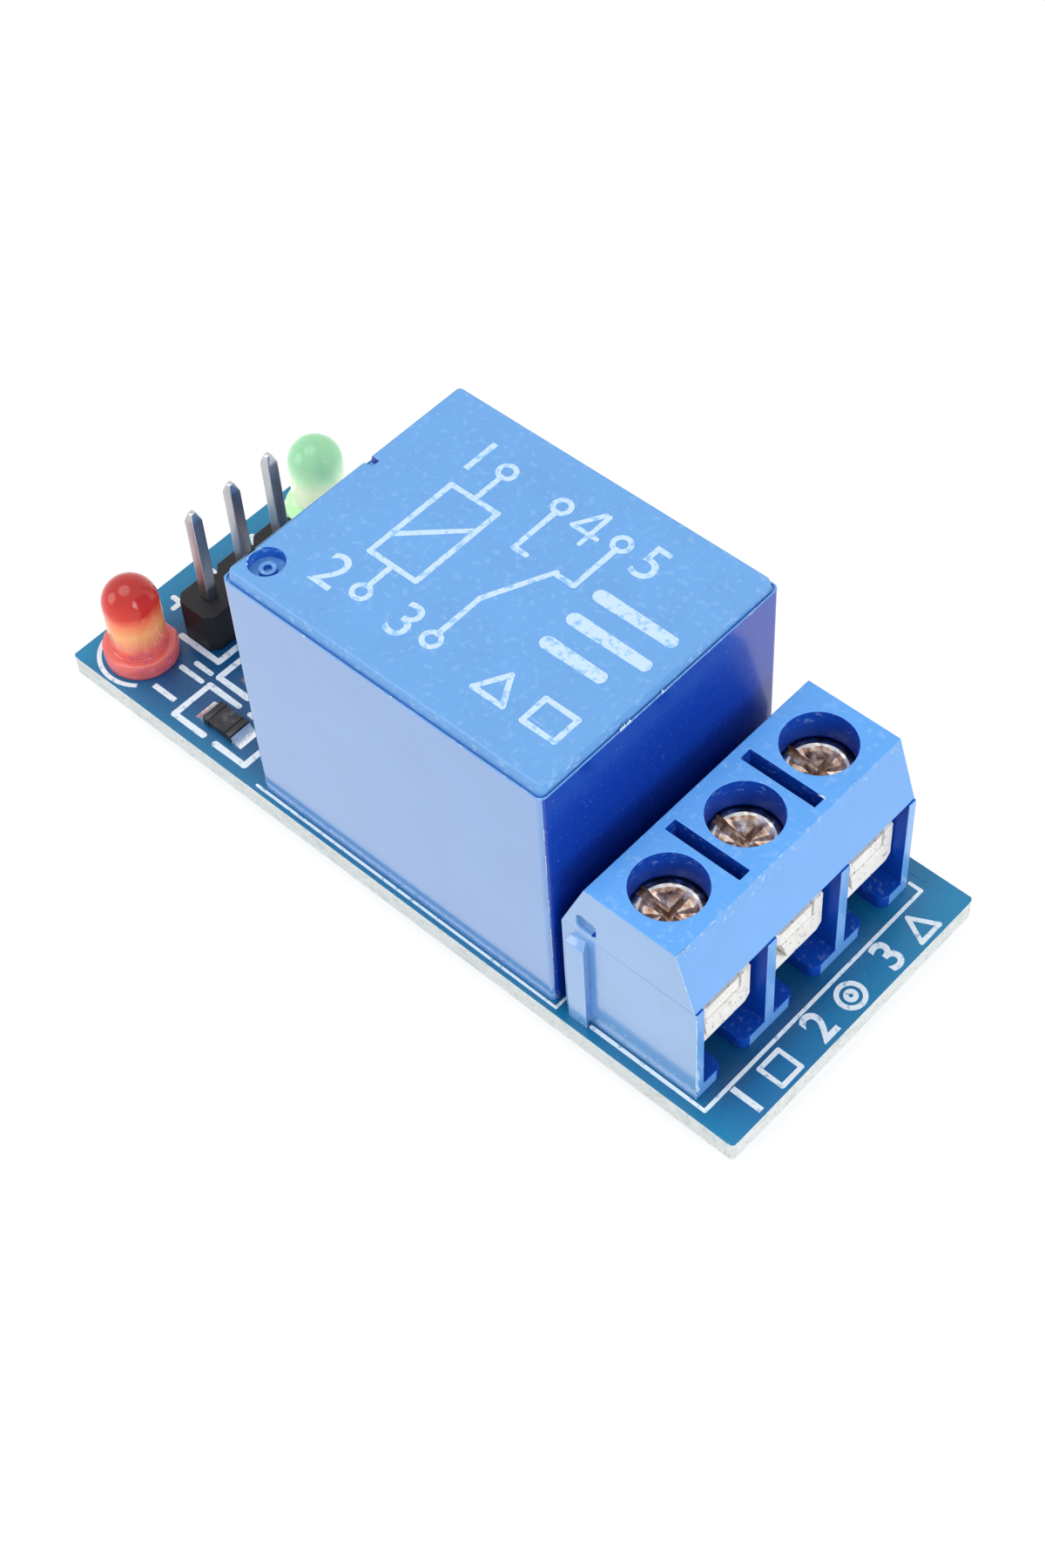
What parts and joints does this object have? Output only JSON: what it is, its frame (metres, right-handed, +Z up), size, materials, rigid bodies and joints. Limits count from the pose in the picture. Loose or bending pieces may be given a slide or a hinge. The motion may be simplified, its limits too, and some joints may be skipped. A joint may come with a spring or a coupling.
{
  "type": "relay module board",
  "caption": "Relay module board: sealed blue relay, screw terminal block with rising wire clamps, pin header, indicator lamps and driver parts on a blue circuit board.",
  "frame": {"origin": "under the middle of the board, level with the tips of the trimmed leads that it stands on", "axes": "+X along the board towards the screw terminals, +Y across it towards the green lamp, +Z up out of the board"},
  "size_m": [0.0432, 0.0174, 0.0179],
  "materials": {
    "board": "blue-green solder mask over glass-fibre board",
    "solder": "bright solder",
    "relay_plastic": "smooth moulded blue plastic",
    "terminal_plastic": "moulded blue plastic, satin",
    "dark_plastic": "black moulded plastic",
    "white_plastic": "natural nylon",
    "magnet_steel": "bright plated steel",
    "copper_wire": "enamelled copper winding",
    "contact_strip": "tinned brass strip",
    "silver_contact": "silver alloy",
    "screw_zinc": "zinc-plated steel with a yellow-pink passivation",
    "clamp_nickel": "nickel-plated, slightly rough",
    "header_metal": "tin-plated brass",
    "tinned_lead": "tinned steel lead frame",
    "red_lens": "clear red epoxy",
    "green_lens": "hazy pale green epoxy",
    "chip_body": "black coating, tinned ends",
    "diode_glass": "amber glass between tinned caps"
  },
  "bodies": {
    "board": {"circuit_board": "board", "solder_joints": "solder", "chip_solder": "solder", "relay_case": "relay_plastic", "relay_base": "dark_plastic", "relay_yoke": "magnet_steel", "relay_core": "magnet_steel", "relay_bobbin": "white_plastic", "relay_coil": "copper_wire", "relay_open_contact": "contact_strip", "relay_closed_contact": "contact_strip", "relay_common_pin": "contact_strip", "relay_coil_pins": "contact_strip", "terminal_base": "terminal_plastic", "terminal_cap": "terminal_plastic", "header_housing": "dark_plastic", "red_lamp_lens": "red_lens", "green_lamp_lens": "green_lens", "red_lamp_anode": "tinned_lead", "red_lamp_cathode": "tinned_lead", "green_lamp_anode": "tinned_lead", "green_lamp_cathode": "tinned_lead", "driver_transistor": "chip_body", "flyback_diode": "diode_glass", "contact_bar_1": "clamp_nickel", "header_pin_1": "header_metal", "resistor_1": "chip_body", "contact_bar_2": "clamp_nickel", "header_pin_2": "header_metal", "resistor_2": "chip_body", "contact_bar_3": "clamp_nickel", "header_pin_3": "header_metal", "resistor_3": "chip_body"},
    "armature": {"relay_armature": "magnet_steel", "relay_blade": "contact_strip", "relay_moving_contact": "silver_contact"},
    "screw_1": {"terminal_screw_1": "screw_zinc"},
    "clamp_1": {"wire_clamp_1": "clamp_nickel"},
    "screw_2": {"terminal_screw_2": "screw_zinc"},
    "clamp_2": {"wire_clamp_2": "clamp_nickel"},
    "screw_3": {"terminal_screw_3": "screw_zinc"},
    "clamp_3": {"wire_clamp_3": "clamp_nickel"}
  },
  "joints": [
    {"name": "armature_rock", "type": "hinge", "parent": "board", "child": "armature", "pos_m": [-0.0057, -0.0005, 0.01385], "axis": [0, 1, 0], "range_deg": [0, 2.3], "stiffness_Nm_per_rad": 0.001, "springref_deg": -17.19},
    {"name": "screw_1_turn", "type": "hinge", "parent": "board", "child": "screw_1", "pos_m": [0.01517, -0.00535, 0.0102], "axis": [0, 0, 1], "range_deg": [0, 1120]},
    {"name": "clamp_1_slide", "type": "slide", "parent": "board", "child": "clamp_1", "axis": [0, 0, -1], "range_m": [0, 0.0014]},
    {"name": "screw_2_turn", "type": "hinge", "parent": "board", "child": "screw_2", "pos_m": [0.01517, -0.00035, 0.0102], "axis": [0, 0, 1], "range_deg": [0, 1120]},
    {"name": "clamp_2_slide", "type": "slide", "parent": "board", "child": "clamp_2", "axis": [0, 0, -1], "range_m": [0, 0.0014]},
    {"name": "screw_3_turn", "type": "hinge", "parent": "board", "child": "screw_3", "pos_m": [0.01517, 0.00465, 0.0102], "axis": [0, 0, 1], "range_deg": [0, 1120]},
    {"name": "clamp_3_slide", "type": "slide", "parent": "board", "child": "clamp_3", "axis": [0, 0, -1], "range_m": [0, 0.0014]}
  ],
  "couplings": [
    {"joint": "screw_1_turn", "follows": "clamp_1_slide", "rad_per_m": 13963},
    {"joint": "screw_2_turn", "follows": "clamp_2_slide", "rad_per_m": 13963},
    {"joint": "screw_3_turn", "follows": "clamp_3_slide", "rad_per_m": 13963}
  ]
}
